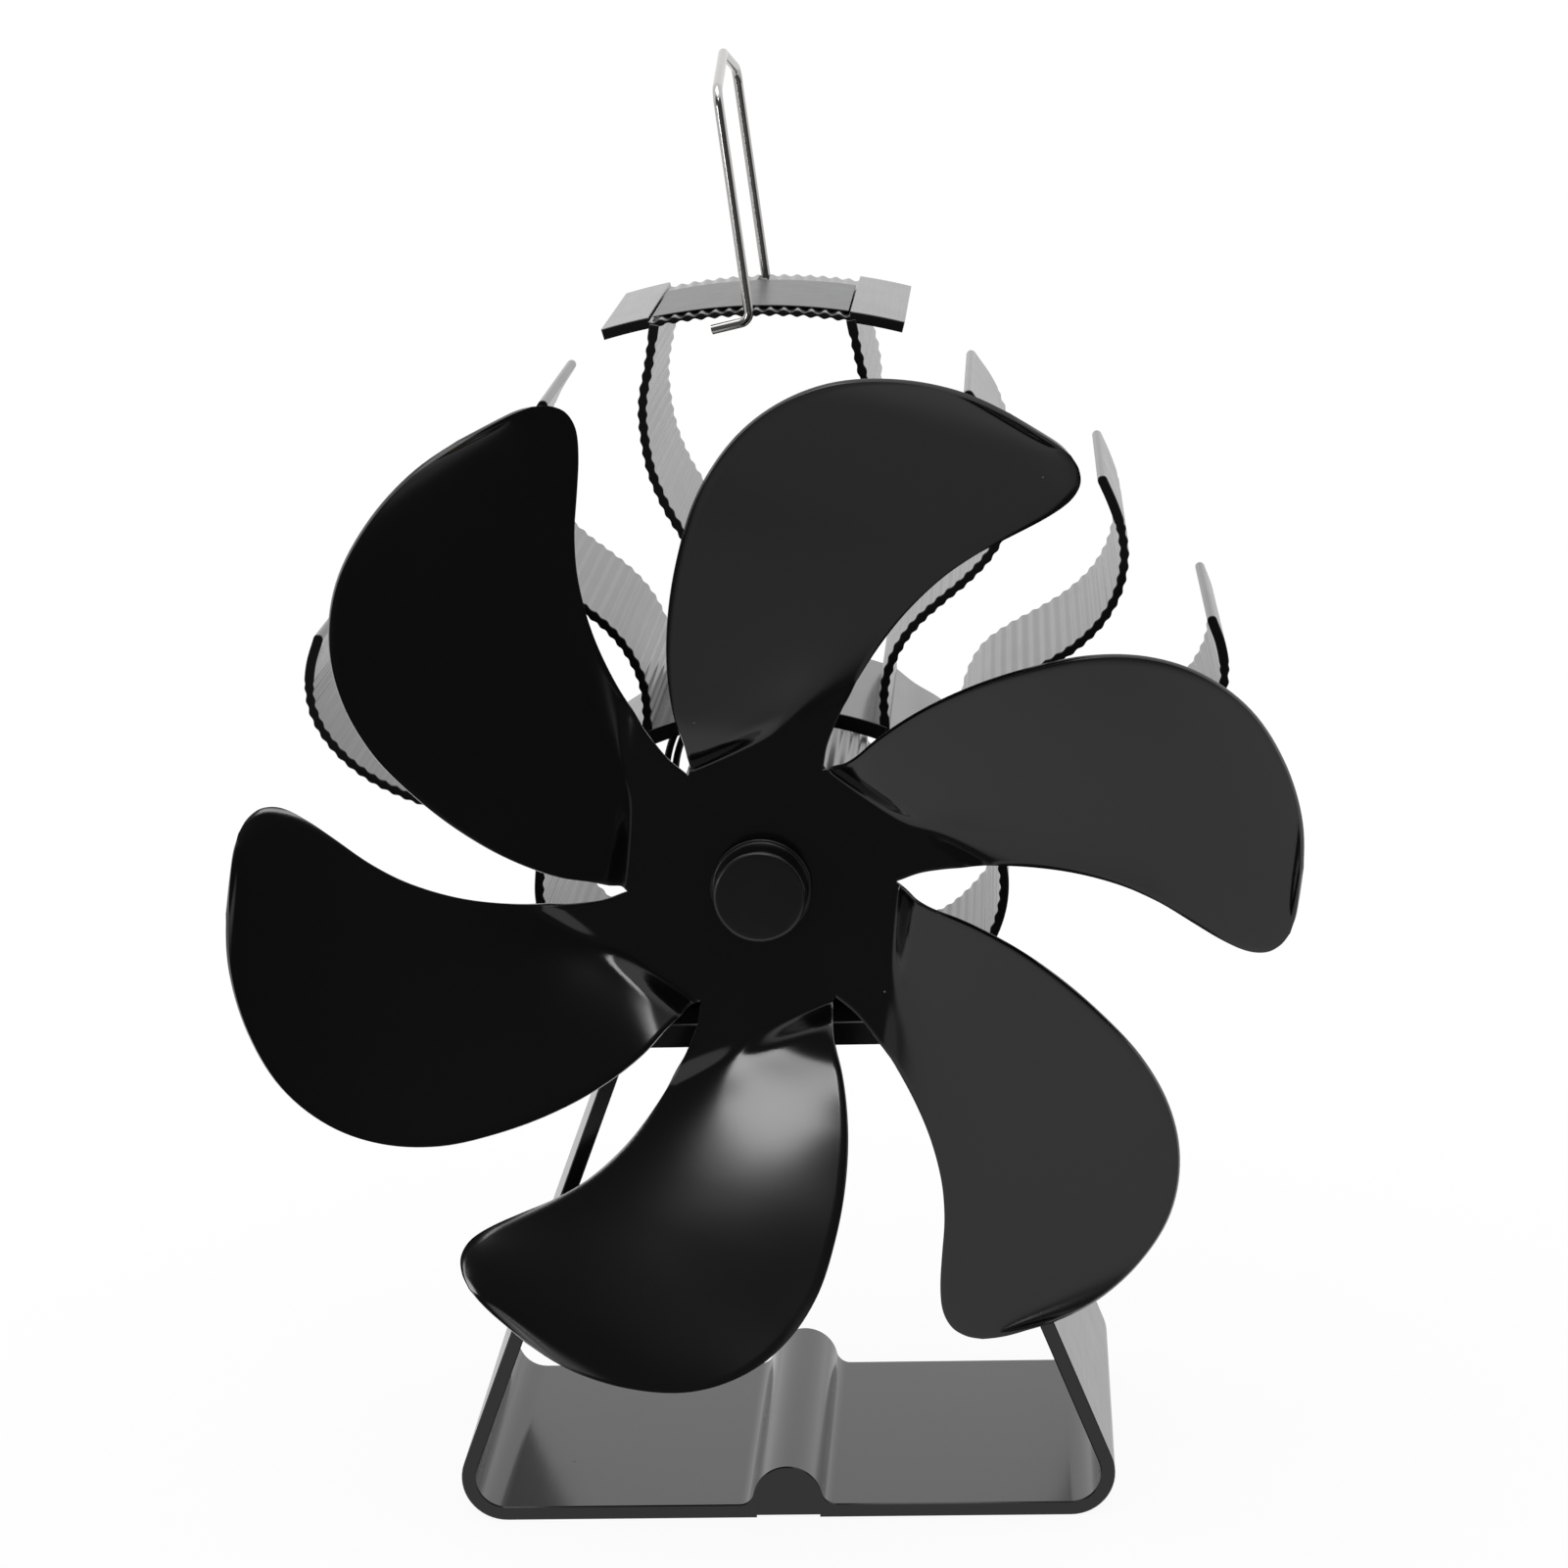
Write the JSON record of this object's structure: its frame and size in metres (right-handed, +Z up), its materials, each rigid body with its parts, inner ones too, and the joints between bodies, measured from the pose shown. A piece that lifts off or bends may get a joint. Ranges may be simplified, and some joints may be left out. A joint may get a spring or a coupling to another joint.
{
  "type": "stove fan",
  "caption": "Heat-powered stove fan: leaning black stand, ribbed heat sink with swept fins, small motor turning swept blades, and a bent wire carry handle",
  "frame": {"origin": "on the ground, in the middle of the whole fan's width and depth", "axes": "+Z up, +X to the right as seen from the front, blades face -Y"},
  "size_m": [0.164, 0.0905, 0.2319],
  "materials": {
    "black_anodised": "satin black anodised",
    "black_paint": "gloss black",
    "black_plastic": "smooth black",
    "black_rubber": "matt black",
    "stainless": "bright drawn wire and ground shaft",
    "label_grey": "satin grey",
    "zinc": "zinc plated",
    "ferrite": "dull dark grey",
    "ceramic": "plain white ceramic",
    "graphite": "soft dark foil",
    "bronze": "sintered",
    "brass": "turned",
    "copper": "enamelled wire and drawn copper",
    "nylon": "natural"
  },
  "bodies": {
    "stand": {"base_frame": "black_anodised", "thermal_pad_lower": "graphite", "thermoelectric_module": "ceramic", "thermal_pad_upper": "graphite", "clamp_screw_left": "zinc", "clamp_screw_right": "zinc", "insulating_bush_left": "nylon", "insulating_bush_right": "nylon", "spring_washer_left": "zinc", "spring_washer_right": "zinc", "heat_sink": "black_anodised", "nameplate": "label_grey", "motor_can": "zinc", "motor_sleeve": "black_rubber", "motor_end_cap": "black_plastic", "front_bush": "bronze", "rear_bush": "bronze", "magnet_left": "ferrite", "magnet_right": "ferrite", "terminal_left": "brass", "terminal_right": "brass", "brush_left": "copper", "brush_right": "copper", "motor_lead_left": "black_rubber", "motor_lead_right": "black_rubber"},
    "rotor": {"motor_shaft": "stainless", "armature_core": "zinc", "winding_1": "copper", "winding_2": "copper", "winding_3": "copper", "commutator": "copper", "hub_collar": "brass", "hub_grub_screw": "zinc", "fan_blades": "black_paint", "blade_nut": "brass", "hub_cap": "black_plastic"},
    "handle": {"carry_handle": "stainless"}
  },
  "joints": [
    {"name": "fan_spin", "type": "hinge", "parent": "stand", "child": "rotor", "pos_m": [0, -0.03303, 0.1088], "axis": [0, 1, 0], "continuous": true},
    {"name": "handle_swing", "type": "hinge", "parent": "stand", "child": "handle", "pos_m": [0.0006, 0.01327, 0.1923], "axis": [0, 1, 0], "range_deg": [-95, 5]}
  ]
}
